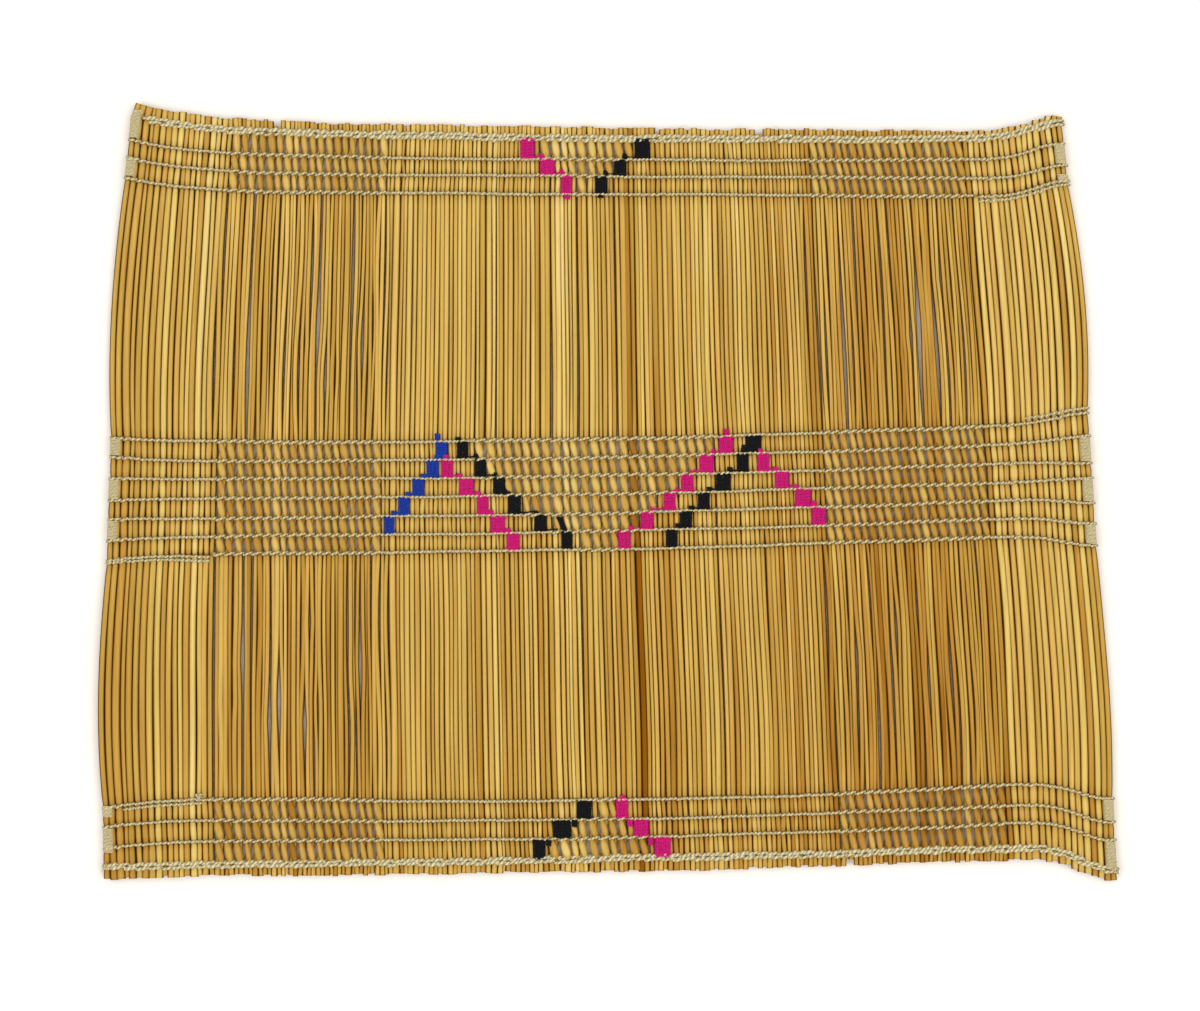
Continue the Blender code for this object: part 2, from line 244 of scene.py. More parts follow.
def block_in(chain, upper_line):
    """The middle and half the width of the chain's block in the cell below a line, or None."""
    blocks = CHAINS[chain]
    step = HELD_LINES.index(upper_line) - HELD_LINES.index(blocks.first_line)
    return (blocks.middles[step], blocks.widths[step] / 2) if 0 <= step < len(blocks.middles) else None


BESIDE_BLOCK = 1.3


def crossing_pairs(cell):
    """The first slots of the pairs of stems that cross in a cell."""
    if cell.bend or "edge" in cell.upper or "edge" in cell.lower:
        return set()
    found = set()
    for first in range(0, STEM_COUNT - 1, 2):
        share = slot_edges[first + 1]
        x, _ = across(cell.upper, share)
        inside = any(low < share < high for low, high in SIDE_OPENWORK)
        for left_chain, right_chain in OPENWORK_BETWEEN:
            left, right = block_in(left_chain, cell.upper), block_in(right_chain, cell.upper)
            if left and sum(left) + BESIDE_BLOCK < x < right[0] - right[1] - BESIDE_BLOCK:
                inside = True
        if inside:
            found.add(first)
    return found


CROSSING = [crossing_pairs(cell) for cell in CELLS]

SHORT_STATIONS = (0.0, 0.14, 0.36, 0.64, 0.86)
LONG_STATIONS = (0.0, 0.015, 0.05, *(0.12 + 0.08 * step for step in range(10)), 0.9, 0.95, 0.985)
cut_lengths = {}
for cut_end in ("top_edge", "bottom_edge"):
    cut_lengths[cut_end] = dice.uniform(-1, 1, STEM_COUNT) * CUT_UNEVENNESS + CUT_EXTRA
for notch in NOTCHES:
    first = round(notch.share * STEM_COUNT)
    cut_lengths[notch.end][first : first + notch.stems] = -notch.depth

# The stems lie loose below and above the side openwork and firm elsewhere. In a long stretch each one leans
# and curls, partly together with its neighbours, and lies a little higher or lower than they do.
LOOSE_FROM_MIDDLE = 0.31
LOOSE_HALF_SHARE = 0.1
FIRM_STEM = 0.15
GROUP_LEAN = 0.3
OWN_LEAN = 0.36
GROUP_CURL = 0.12
OWN_CURL = 0.2
LEAN_PEAKS = (0.6, 1.7)
HELD_UNEVENNESS = 0.13
SWELL_UNEVENNESS = 0.05
Lean = namedtuple("Lean", "whole double layer peak")
is_loose = np.abs(np.abs(nominal - 0.5) - LOOSE_FROM_MIDDLE) < LOOSE_HALF_SHARE
looseness = np.where(is_loose, 1.0, FIRM_STEM)
leans = {}
for cell in CELLS:
    if cell.bend:
        whole = slow_change(6, GROUP_LEAN) + dice.normal(size=STEM_COUNT) * OWN_LEAN * looseness
        double = slow_change(4, GROUP_CURL) + dice.normal(size=STEM_COUNT) * OWN_CURL * looseness
        layer = dice.uniform(-1, 1, STEM_COUNT) * STEM_LAYERS
        peak = dice.uniform(*LEAN_PEAKS, STEM_COUNT)
        leans[cell.upper] = Lean(whole, double, layer, peak)
held_shift = dice.normal(size=(len(HELD_LINES), STEM_COUNT)) * HELD_UNEVENNESS
cell_swell = 1 + dice.normal(size=(len(CELLS), STEM_COUNT)) * SWELL_UNEVENNESS


def parted(share, y):
    """How far the partings push a stem aside at a height."""
    shift = 0.0
    for gap_share, gap_y, reach, width in PARTINGS:
        apart = (share - gap_share) * MEAN_WIDTH
        if abs(y - gap_y) < 2.2 * reach and abs(apart) < 4 * CROWDING:
            fade = math.exp(-(((y - gap_y) / reach) ** 2) - abs(apart) / CROWDING)
            shift += math.copysign(width / 2, apart) * fade
    return shift


def held_point(name, slot, stem):
    """Where a stem passes a line, or where it ends. The stubs stand upright except near the corners."""
    share = slot_middles[slot]
    number = HELD_LINES.index(name)
    pair = slot - slot % 2
    if pair in CROSSING[max(number - 1, 0)] | CROSSING[min(number, len(CELLS) - 1)]:
        share = slot_edges[pair + 1] + (share - slot_edges[pair + 1]) * PAIR_PULL
    x, y = across(name, share)
    if name in cut_lengths:
        y += cut_lengths[name][stem] * (1 if name == "top_edge" else -1)
        beside, _ = across(name.replace("edge", "braid"), share)
        x = beside + (x - beside) * math.exp(-min(share, 1 - share) / CORNER_SHARE)
    return x + held_shift[number][stem], y


def bowed_shift(cell, slot, start, end, t):
    """How far the mat's bowed sides carry a stem sideways in a long stretch."""
    ends = SIDES[[side.line for side in SIDES].index(cell.bend)]
    share = slot_middles[slot]
    bend_x = ends.left_x + (ends.right_x - ends.left_x) * share
    bend_t = (start[1] - line_height(cell.bend, share)) / (start[1] - end[1])
    straight_x = start[0] + (end[0] - start[0]) * bend_t
    bowed = (bend_x - straight_x) * math.exp(-min(share, 1 - share) / BOWED_SHARE)
    return bowed * t * (1 - t) / (bend_t * (1 - bend_t))


def pinched_and_shaded(cell, swell, length, t):
    """How thick a stem is in a cell, against its own size, and how much painted cord shadow, with some dirt,
    it gets.
    Only one end of a stub is held by a cord, and its cut end is a little rounded and gets painted shade."""
    for edge, from_cord in (("top_edge", 1 - t), ("bottom_edge", t)):
        if edge in (cell.upper, cell.lower):
            factor = STUB_SPREAD + (PINCH - STUB_SPREAD) * math.exp(-length * from_cord / PINCH_REACH)
            shade = math.exp(-length * from_cord / SHADE_REACH)
            return (factor * CUT_ROUNDING, max(CUT_SHADE, shade)) if from_cord == 1 else (factor, shade)
    pinched = math.exp(-length * min(t, 1 - t) / PINCH_REACH)
    return swell + (PINCH - swell) * pinched, math.exp(-length * min(t, 1 - t) / SHADE_REACH)


Strand = namedtuple("Strand", "points radii tone stains shades", defaults=(None, None))


def stem_strand(stem, tone):
    """One stem from its top end to its bottom end: its middle line, its radii, how much painted shade its
    flanks get, which is less where it stands clear in the openwork, and how much painted cord shadow, with
    some dirt, it gets."""
    points, radii, stains, shades = [], [], [], []
    slot = stem
    for number, cell in enumerate(CELLS):
        pair = slot - slot % 2
        crosses = pair in CROSSING[number]
        next_slot = slot ^ 1 if crosses else slot
        lift = {1: FRONT_LIFT, 0: 0.0, -1: -REAR_DROP}[next_slot - slot]
        swell = {1: FRONT_SWELL, 0: SWELL, -1: REAR_SWELL}[next_slot - slot] * cell_swell[number][stem]
        start = held_point(cell.upper, slot, stem)
        end = held_point(cell.lower, next_slot, stem)
        length = start[1] - end[1]
        own_radius = stem_radii[stem]
        if crosses:
            shared = (slot_edges[pair + 2] - slot_edges[pair]) * MEAN_WIDTH / 4 * FULLNESS
            own_radius += (shared - own_radius) * PAIR_BLEND
        stations = LONG_STATIONS if cell.bend else SHORT_STATIONS
        for t in stations + ((1.0,) if cell.lower == "bottom_edge" else ()):
            x = start[0] + (end[0] - start[0]) * t
            y = start[1] + (end[1] - start[1]) * t
            z = STEM_MIDDLE + lift * math.sin(math.pi * t) ** 0.8
            if cell.bend:
                lean = leans[cell.upper]
                x += bowed_shift(cell, slot, start, end, t)
                x += lean.whole[stem] * math.sin(math.pi * t ** lean.peak[stem])
                x += lean.double[stem] * math.sin(2 * math.pi * t)
                x += parted(slot_middles[slot], y)
                z += lean.layer[stem] * math.sin(math.pi * t) ** 0.6
                swell = SWELL
            factor, shade = pinched_and_shaded(cell, swell, length, t)
            local_width = (side_x("right", y) - side_x("left", y)) / MEAN_WIDTH
            radius = own_radius * factor * local_width
            radii.append(radius)
            # Painted flank shade for this point, less where the stem crosses clear of its neighbour.
            stains.append(1.0 - CLEAR_PAINTED_FLANK_SHADE * math.sin(math.pi * t) ** 0.5 if crosses else 1.0)
            shades.append(shade)
            points.append((x, y, max(z, radius * FLATNESS + ABOVE_TABLE)))
        slot = next_slot
    return Strand(points, radii, tone, stains, shades)


def add_node(tree, kind, sockets=None, **settings):
    """A node with its settings made. A socket's value is a plain value or the output that feeds it."""
    node = tree.nodes.new(kind)
    for setting, value in settings.items():
        setattr(node, setting, value)
    for socket, value in (sockets or {}).items():
        if isinstance(value, bpy.types.NodeSocket):
            tree.links.new(value, node.inputs[socket])
        else:
            node.inputs[socket].default_value = value
    return node


def new_group(name, kind, inputs, outputs):
    """A node group with named sockets, and its input and output nodes."""
    tree = bpy.data.node_groups.new(name, kind)
    for sockets, way in ((inputs, "INPUT"), (outputs, "OUTPUT")):
        for socket, socket_type in sockets.items():
            tree.interface.new_socket(socket, in_out=way, socket_type="NodeSocket" + socket_type)
    return tree, tree.nodes.new("NodeGroupInput"), tree.nodes.new("NodeGroupOutput")


def strand_sweeper():
    """Geometry Nodes that give every chain of edges a round section. The chain's points hold its radius."""
    inputs = {"Middle lines": "Geometry", "Sides": "Int", "Flatness": "Float", "Finish": "Material"}
    tree, given, result = new_group("swept_strands", "GeometryNodeTree", inputs, {"Strands": "Geometry"})
    radius = add_node(tree, "GeometryNodeInputNamedAttribute", {"Name": "radius"}, data_type="FLOAT")
    place = tree.nodes.new("GeometryNodeInputPosition")

    def with_places(geometry, name):
        return add_node(tree, "GeometryNodeStoreNamedAttribute",
                        {"Geometry": geometry, "Name": name, "Value": place.outputs[0]},
                        data_type="FLOAT_VECTOR", domain="POINT").outputs[0]

    cored = with_places(given.outputs["Middle lines"], "core")
    lines = add_node(tree, "GeometryNodeMeshToCurve", {"Mesh": cored})
    circle = add_node(tree, "GeometryNodeCurvePrimitiveCircle",
                      {"Resolution": given.outputs["Sides"], "Radius": 1.0}, mode="RADIUS")
    ring = with_places(circle.outputs["Curve"], "ring")
    tube = add_node(tree, "GeometryNodeCurveToMesh",
                    {"Curve": lines.outputs[0], "Profile Curve": ring, "Scale": radius.outputs[0],
                     "Fill Caps": True})
    core = add_node(tree, "GeometryNodeInputNamedAttribute", {"Name": "core"}, data_type="FLOAT_VECTOR")
    outwards = add_node(tree, "ShaderNodeVectorMath", {0: place.outputs[0], 1: core.outputs[0]},
                        operation="SUBTRACT")
    squash = add_node(tree, "ShaderNodeCombineXYZ", {0: 1.0, 1: 1.0, 2: given.outputs["Flatness"]})
    pressed = add_node(tree, "ShaderNodeVectorMath",
                       {0: outwards.outputs[0], 1: squash.outputs[0], 2: core.outputs[0]},
                       operation="MULTIPLY_ADD")
    flat = add_node(tree, "GeometryNodeSetPosition",
                    {"Geometry": tube.outputs[0], "Position": pressed.outputs[0]})
    smooth = add_node(tree, "GeometryNodeSetShadeSmooth", {"Geometry": flat.outputs[0]})
    real = add_node(tree, "GeometryNodeRealizeInstances", {"Geometry": smooth.outputs[0]})
    painted = add_node(tree, "GeometryNodeSetMaterial",
                       {"Geometry": real.outputs[0], "Material": given.outputs["Finish"]})
    tree.links.new(painted.outputs[0], result.inputs[0])
    return tree


SWEEPER = strand_sweeper()


def add_piece(name, mesh):
    piece = bpy.data.objects.new(name, mesh)
    bpy.context.scene.collection.objects.link(piece)
    return piece


def sweep(name, strands, sides, finish, flatness=1.0):
    """One piece of round strands. It becomes a plain mesh, with no modifier left on it."""
    mesh = bpy.data.meshes.new(name + "_lines")
    points = np.concatenate([np.array(strand.points) for strand in strands])
    points = (points - (MIDDLE_X, MIDDLE_Y, 0.0)) * MM
    edges, start = [], 0
    values = {"radius": [], "tone": [], "along": [], "stain": [], "shade": []}
    for strand in strands:
        count = len(strand.points)
        edges += [(index, index + 1) for index in range(start, start + count - 1)]
        start += count
        steps = np.linalg.norm(np.diff(np.array(strand.points), axis=0), axis=1)
        values["radius"] += [radius * MM for radius in strand.radii]
        values["tone"] += [strand.tone] * count
        values["along"] += [0.0, *np.cumsum(steps)]
        values["stain"] += strand.stains or [1.0] * count
        values["shade"] += strand.shades or [0.0] * count
    mesh.from_pydata(points.tolist(), edges, [])
    for kind, numbers in values.items():
        mesh.attributes.new(kind, "FLOAT", "POINT").data.foreach_set("value", numbers)
    lines = add_piece(name + "_lines", mesh)
    modifier = lines.modifiers.new("sweep", "NODES")
    modifier.node_group = SWEEPER
    given = {"Sides": sides, "Flatness": flatness, "Finish": finish}
    for item in SWEEPER.interface.items_tree:
        if item.in_out == "INPUT" and item.name in given:
            modifier[item.identifier] = given[item.name]
    graph = bpy.context.evaluated_depsgraph_get()
    swept = bpy.data.meshes.new_from_object(lines.evaluated_get(graph), depsgraph=graph)
    swept.name = name
    bpy.data.objects.remove(lines)
    bpy.data.meshes.remove(mesh)
    return add_piece(name, swept)


def linear(code):
    """The linear colour of a six-figure colour code."""
    parts = [int(code[place : place + 2], 16) / 255 for place in (0, 2, 4)]
    return [part / 12.92 if part <= 0.04045 else ((part + 0.055) / 1.055) ** 2.4 for part in parts] + [1.0]


def new_material(name, roughness, **shader_values):
    """A material with its shader, and the tree that the section adds to."""
    material = bpy.data.materials.new(name)
    material.use_nodes = True
    shader = material.node_tree.nodes["Principled BSDF"]
    shader.inputs["Roughness"].default_value = roughness
    for socket, value in shader_values.items():
        shader.inputs[socket.replace("_", " ")].default_value = value
    return material, material.node_tree, shader


def calculate(tree, operation, *values, **settings):
    """The result of a math node. Each value is a plain number or the output that feeds it."""
    node = add_node(tree, "ShaderNodeMath", dict(enumerate(values)), operation=operation, **settings)
    return node.outputs[0]


def blend(tree, amount, first, second, **settings):
    """A colour between two colours, each of them a plain colour or the output that feeds it."""
    sockets = {0: amount, 6: first, 7: second}
    return add_node(tree, "ShaderNodeMix", sockets, data_type="RGBA", **settings).outputs[2]


def attribute(tree, name, output="Fac"):
    return add_node(tree, "ShaderNodeAttribute", attribute_name=name).outputs[output]


def painted_flank_shade_amount(tree, place, facing_up, facing_aside, most):
    """How much painted flank shade shows: none where the surface faces up or down, most where it is steep.
    """
    facing = add_node(tree, "ShaderNodeSeparateXYZ", {0: place.outputs["Normal"]})
    upright = calculate(tree, "ABSOLUTE", facing.outputs[2])
    flank = add_node(tree, "ShaderNodeMapRange",
                     {"Value": upright, "From Min": facing_up, "From Max": facing_aside, "To Min": 0.0,
                      "To Max": most}, interpolation_type="SMOOTHSTEP")
    return flank.outputs[0]


BUMP_DISTANCE = 0.00012


def finish_shader(tree, shader, colour, height, strength):
    """The colour of a material and its bump, which follows the height."""
    tree.links.new(colour, shader.inputs["Base Color"])
    bump = add_node(tree, "ShaderNodeBump",
                    {"Height": height, "Strength": strength, "Distance": BUMP_DISTANCE})
    tree.links.new(bump.outputs[0], shader.inputs["Normal"])


def uneven_group():
    """Soft mottling that follows the piece: light and dark, and a height for the bump."""
    inputs = {"Colour": "Color", "Stretch": "Vector", "Shift": "Float", "Depth": "Float"}
    outputs = {"Colour": "Color", "Height": "Float"}
    tree, given, result = new_group("uneven_fibre", "ShaderNodeTree", inputs, outputs)
    place = tree.nodes.new("ShaderNodeTexCoord")
    stretched = add_node(tree, "ShaderNodeVectorMath",
                         {0: place.outputs["Object"], 1: given.outputs["Stretch"]}, operation="MULTIPLY")
    noise = add_node(tree, "ShaderNodeTexNoise",
                     {"Vector": stretched.outputs[0], "W": given.outputs["Shift"], "Scale": 1.0,
                      "Detail": 3.0, "Roughness": 0.6}, noise_dimensions="4D")
    centred = calculate(tree, "SUBTRACT", noise.outputs[0], 0.5)
    gain = calculate(tree, "MULTIPLY_ADD", centred, given.outputs["Depth"], 1.0)
    shaded = add_node(tree, "ShaderNodeVectorMath", {0: given.outputs["Colour"], "Scale": gain},
                      operation="SCALE")
    tree.links.new(shaded.outputs[0], result.inputs["Colour"])
    tree.links.new(noise.outputs[0], result.inputs["Height"])
    return tree


UNEVEN = uneven_group()

# Straw runs from brown to pale yellow. Its steep flanks get painted shade, it gets painted shadow with some
# dirt beside the cords, a painted fall-off of the light darkens it towards the bottom, and fine streaks run
# along it.
STRAW_TONES = ((0.0, "865410"), (0.2, "B08238"), (0.4, "BF984A"), (0.6, "CEAA5B"), (0.8, "DABB6C"),
               (1.0, "E6CC87"))
GREENER_TINT = (0.96, 1.01, 0.92, 1.0)
REDDER_TINT = (1.01, 0.985, 0.97, 1.0)
AGEING_SCALE = (60.0, 14.0, 60.0)
AGEING = 0.5
STEM_SHIFT = 173.0
STREAK_SCALE = (1200.0, 22.0, 1200.0)
STREAK_DEPTH = 0.75
# Painted shade on the straw's steep flanks, and the dark brown colour it is painted in.
PAINTED_FLANK_SHADE = 0.97
PAINTED_FLANK_SHADE_COLOUR = "4A2600"
# Painted fall-off of the light: how much darker the straw gets towards the bottom of the mat.
BOTTOM_DARKENING = 0.14
# Painted shadow of the cord on the straw beside it and at the cut ends, with some dirt.
CORD_SHADE = 0.75
CORD_SHADE_COLOUR = "5E3608"


def straw_material():
    material, tree, shader = new_material("rush_straw_finish", 0.6, Specular_IOR_Level=0.0)
    tone = attribute(tree, "tone")
    shift = calculate(tree, "MULTIPLY", tone, STEM_SHIFT)
    place = tree.nodes.new("ShaderNodeTexCoord")
    slow = add_node(tree, "ShaderNodeVectorMath", {0: place.outputs["Object"], 1: AGEING_SCALE},
                    operation="MULTIPLY")
    ageing = add_node(tree, "ShaderNodeTexNoise",
                      {"Vector": slow.outputs[0], "W": shift, "Scale": 1.0, "Detail": 2.0},
                      noise_dimensions="4D")
    aged = calculate(tree, "MULTIPLY_ADD", ageing.outputs[0], AGEING, tone)
    # Painted fall-off of the light: the straw's tone drops towards the bottom of the mat.
    height = add_node(tree, "ShaderNodeSeparateXYZ", {0: place.outputs["Object"]})
    bottom_darkening = add_node(tree, "ShaderNodeMapRange",
                        {"Value": height.outputs[1], "From Min": 0.1, "From Max": -0.15,
                         "To Min": AGEING / 2, "To Max": AGEING / 2 + BOTTOM_DARKENING})
    toned = calculate(tree, "SUBTRACT", aged, bottom_darkening.outputs[0])
    ramp = add_node(tree, "ShaderNodeValToRGB", {"Fac": toned})
    while len(ramp.color_ramp.elements) < len(STRAW_TONES):
        ramp.color_ramp.elements.new(0.5)
    for element, (position, code) in zip(ramp.color_ramp.elements, STRAW_TONES):
        element.position = position
        element.color = linear(code)
    kind = add_node(tree, "ShaderNodeTexWhiteNoise", {"W": shift}, noise_dimensions="1D")
    tint = blend(tree, kind.outputs["Value"], GREENER_TINT, REDDER_TINT)
    tinted = blend(tree, 1.0, ramp.outputs[0], tint, blend_type="MULTIPLY")
    streaks = add_node(tree, "ShaderNodeGroup", node_tree=UNEVEN, sockets={
        "Colour": tinted, "Shift": shift, "Stretch": STREAK_SCALE, "Depth": STREAK_DEPTH,
    })
    # Painted shade: the steep flanks of the straw turn dark brown, as the shade in the crevices between
    # stems.
    flank = painted_flank_shade_amount(tree, place, 0.985, 0.66, PAINTED_FLANK_SHADE)
    amount = calculate(tree, "MULTIPLY", flank, attribute(tree, "stain"))
    flank_shaded = blend(tree, amount, streaks.outputs["Colour"], linear(PAINTED_FLANK_SHADE_COLOUR))
    # Painted shadow with some dirt: the straw turns brown close to the cords and at the cut ends.
    painted_cord_shade = calculate(tree, "MULTIPLY", attribute(tree, "shade"), CORD_SHADE, use_clamp=True)
    shaded = blend(tree, painted_cord_shade, flank_shaded, linear(CORD_SHADE_COLOUR))
    finish_shader(tree, shader, shaded, streaks.outputs["Height"], 0.5)
    return material


straw = straw_material()
FIRM_TONE = 0.62
LOOSE_DARKER = 0.16
GROUP_TONE = 0.07
OWN_TONE = 0.14
SIDE_TONE = 0.45
tones = FIRM_TONE - LOOSE_DARKER * looseness + slow_change(5, GROUP_TONE)
tones = np.clip(tones + dice.normal(size=STEM_COUNT) * OWN_TONE, 0.1, 0.95)
tones[[0, 1, -2, -1]] = SIDE_TONE
stem_strands = [stem_strand(stem, tone) for stem, tone in enumerate(tones)]
STEM_SIDES = 8
PANELS = (("stems_left", 0, 52), ("stems_middle_left", 52, 103), ("stems_middle_right", 103, 154),
          ("stems_right", 154, STEM_COUNT))
for panel_name, first, last in PANELS:
    panel = sweep(panel_name, stem_strands[first:last], STEM_SIDES, straw, FLATNESS)
    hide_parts("stem_sheet")
    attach(panel, "root")

# Twined rows. Two strands of plied cord run across the mat together. At every stem one of them passes over
# and the other under, and they change places, so a row is a line of small slanted beads on both faces.

CORD_RADIUS = 0.62
CORD_PLY_PITCH = 1.6
SINGLE_SLANT = 0.2
PAIR_SLANT = 0.52
PAIR_FROM_WIDTH = 3
ROW_STATIONS = (0.0, 0.22, 0.5, 0.78)
CORD_OVER_STEM = 0.85
BEAD_ROUNDNESS = 0.55
SIZE_SPREAD = 1.2
Row = namedtuple("Row", "line first_share last_share offset last_offset", defaults=(0, 1, 0, None))
ROWS = {
    "top_twining": (
        Row("top_2"), Row("top_3"), Row("top_4", 0, 0.905), Row("top_4", 0.9, 1, -0.5),
        Row("top_4", 0.905, 1, -2.3),
    ),
    "middle_twining": (
        Row("middle_1"), Row("middle_1", 0.935, 1, 2.2), Row("middle_2"), Row("middle_3"), Row("middle_4"),
        Row("middle_5"), Row("middle_6"), Row("middle_7", 0.104), Row("middle_7", 0, 0.108, 1.0, -1.2),
        Row("middle_7", 0, 0.108, 0.0, -3.2),
    ),
    "bottom_twining": (
        Row("bottom_1"), Row("bottom_1", 0.014, 0.098, -1.9, -1.6), Row("bottom_2"), Row("bottom_3"),
    ),
}


def row_gaps(line):
    """The slots at which the two strands change places: between all stems, but not in a crossing pair."""
    number = HELD_LINES.index(line)
    pairs = CROSSING[number - 1] | CROSSING[number]
    return [slot for slot in range(STEM_COUNT + 1) if slot - 1 not in pairs]


def twined_row(row, radius, slant, gaps, unevenness=0.09):
    """The line of both strands: across on one, round the last stem, and back on the other."""
    gaps = [slot for slot in gaps if row.first_share <= slot_edges[slot] <= row.last_share]
    jitter = dice.normal(size=len(gaps)) * unevenness
    last_offset = row.offset if row.last_offset is None else row.last_offset
    spread = SIZE_SPREAD * unevenness
    halves = []

    def place(share):
        drift = (share - row.first_share) / (row.last_share - row.first_share)
        return across(row.line, share, row.offset + drift * (last_offset - row.offset))

    for strand in (0, 1):
        points = []
        for group in range(len(gaps) - 1):
            left, right = slot_edges[gaps[group]], slot_edges[gaps[group + 1]]
            width = (right - left) * MEAN_WIDTH
            thickest = max(stem_radii[gaps[group] : gaps[group + 1]])
            room_below = STEM_MIDDLE - ABOVE_TABLE - spread * radius
            rise = min(PINCH * FLATNESS * thickest + CORD_OVER_STEM * radius, room_below - radius)
            for t in ROW_STATIONS:
                turn = math.pi * (group + t + strand)
                x, y = place(left + (right - left) * t)
                swing = slant * (PAIR_SLANT if width > PAIR_FROM_WIDTH else SINGLE_SLANT)
                height = math.copysign(abs(math.sin(turn)) ** BEAD_ROUNDNESS, math.sin(turn))
                points.append((x, y - swing * math.cos(turn) + jitter[group], STEM_MIDDLE + rise * height))
        halves.append(points)
    left_x, left_y = place(slot_edges[gaps[0]])
    right_x, right_y = place(slot_edges[gaps[-1]])
    left_turn = (left_x - radius, left_y, STEM_MIDDLE)
    right_turn = (right_x + radius, right_y, STEM_MIDDLE)
    points = [left_turn, *halves[0], right_turn, *reversed(halves[1]), left_turn]
    bead_sizes = np.repeat(dice.uniform(1 - spread, 1 + spread, len(points)), 3)[: len(points)]
    return Strand(points, list(radius * bead_sizes), dice.uniform(0, 1))


def ply_group():
    """The twist of a plied cord: how deep the surface lies, from a groove at 0 to a ridge at 1."""
    inputs = {"Turns per mm": "Float", "Plies": "Float"}
    tree, given, result = new_group("plied_twist", "ShaderNodeTree", inputs, {"Ridge": "Float"})
    parts = add_node(tree, "ShaderNodeSeparateXYZ", {0: attribute(tree, "ring", "Vector")})
    angle = calculate(tree, "ARCTAN2", parts.outputs[1], parts.outputs[0])
    around = calculate(tree, "MULTIPLY", angle, given.outputs["Plies"])
    turned = calculate(tree, "MULTIPLY", attribute(tree, "along"), given.outputs["Turns per mm"])
    total = calculate(tree, "MULTIPLY_ADD", turned, 2 * math.pi, around)
    wave = calculate(tree, "SINE", total)
    ridge = calculate(tree, "MULTIPLY_ADD", wave, 0.5, 0.5)
    tree.links.new(ridge, result.inputs["Ridge"])
    return tree


PLIED = ply_group()
MOTTLE_SCALE = (900.0, 900.0, 900.0)
MOTTLE_DEPTH = 0.7
MOTTLE_RELIEF = 0.6
FLANK_SHADE = 0.75
SHADE_DEPTH = 0.35


def fibre_material(name, light, dark, turns_per_mm, plies, sheen=0.25):
    """Spun fibre: plied ridges with painted shade in the grooves, a mottled tone, painted shade on the
    flanks and a soft sheen.
    """
    material, tree, shader = new_material(name, 0.9, Specular_IOR_Level=0.15, Sheen_Weight=sheen,
                                          Sheen_Roughness=0.5)
    twist = add_node(tree, "ShaderNodeGroup", node_tree=PLIED, sockets={
        "Turns per mm": turns_per_mm, "Plies": plies,
    })
    # Painted shade: the grooves between the plies take the dark colour and the ridges the light one.
    mixed = blend(tree, twist.outputs["Ridge"], linear(dark), linear(light))
    mottled = add_node(tree, "ShaderNodeGroup", node_tree=UNEVEN, sockets={
        "Colour": mixed, "Stretch": MOTTLE_SCALE, "Depth": MOTTLE_DEPTH,
    })
    place = tree.nodes.new("ShaderNodeTexCoord")
    # Painted shade on the steep flanks of each strand, in a darker copy of its dark colour.
    flank = painted_flank_shade_amount(tree, place, 0.85, 0.25, FLANK_SHADE)
    flank_shade_colour = [part * SHADE_DEPTH for part in linear(dark)[:3]] + [1.0]
    shaded = blend(tree, flank, mottled.outputs["Colour"], flank_shade_colour)
    relief = calculate(tree, "MULTIPLY_ADD", mottled.outputs["Height"], MOTTLE_RELIEF,
                       twist.outputs["Ridge"])
    finish_shader(tree, shader, shaded, relief, 0.6)
    return material


cord_finish = fibre_material("twining_cord_finish", "DACD9E", "978C60", 1 / CORD_PLY_PITCH, 2.0)
for band, rows in ROWS.items():
    strands = [twined_row(row, CORD_RADIUS, 1.0, row_gaps(row.line)) for row in rows]
    piece = sweep(band + "_rows", strands, 6, cord_finish)
    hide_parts(band)
    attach(piece, "root")

# End braids. At each cut end two rows of thicker, greyer cord are twined close together, one of them a
# stem further on, so that they look like one braid. They hold two stems at a time, and the stubs stand out.

BRAID_RADIUS = 0.84
BRAID_HALF = 0.74
BRAID_SLANT = 0.8
BRAID_JITTER = 0.22
BRAID_START = {"top_braid": 0.012, "bottom_braid": 0.0}
braid_finish = fibre_material("end_braid_finish", "DAD1AA", "9C936B", 0.5, 2.0)
for line in ("top_braid", "bottom_braid"):
    strands = []
    for offset, first in ((BRAID_HALF, 2), (-BRAID_HALF, 1)):
        gaps = [0, *range(first, STEM_COUNT, 2), STEM_COUNT]
        row = Row(line, BRAID_START[line], 1, offset)
        strands.append(twined_row(row, BRAID_RADIUS, BRAID_SLANT, gaps, BRAID_JITTER))
    piece = sweep(line + "_cords", strands, 7, braid_finish)
    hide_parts(line)
    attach(piece, "root")

# Side whippings. Between some rows the cord is wound down the side edge in fine turns round the outermost
# stems, and this carries it from the end of one row to the start of the next.

WHIPPING_HALF = 2.2
WHIPPING_RADIUS = 0.32
WHIPPING_PITCH = 0.62
WHIPPING_ROUNDING = 0.55
WHIPPING_OVERHANG = 0.3
WHIPPING_RISE = 1.35
Whipping = namedtuple("Whipping", "side upper lower upper_offset lower_offset", defaults=(0.0, 0.0))
WHIPPINGS = (
    Whipping("left", "top_braid", "top_2", 3.2),
    Whipping("left", "top_3", "top_4"),
    Whipping("right", "top_2", "top_3"),
    Whipping("right", "top_4", "top_4", 2.9, -2.0),
    Whipping("left", "middle_1", "middle_2"),
    Whipping("left", "middle_3", "middle_4"),
    Whipping("left", "middle_5", "middle_6"),
    Whipping("right", "middle_2", "middle_3"),
    Whipping("right", "middle_4", "middle_5"),
    Whipping("right", "middle_6", "middle_7"),
    Whipping("left", "bottom_1", "bottom_1", 1.7, -4.4),
    Whipping("left", "bottom_2", "bottom_3", 0.0, -2.4),
    Whipping("right", "bottom_1", "bottom_2"),
    Whipping("right", "bottom_3", "bottom_braid"),
)
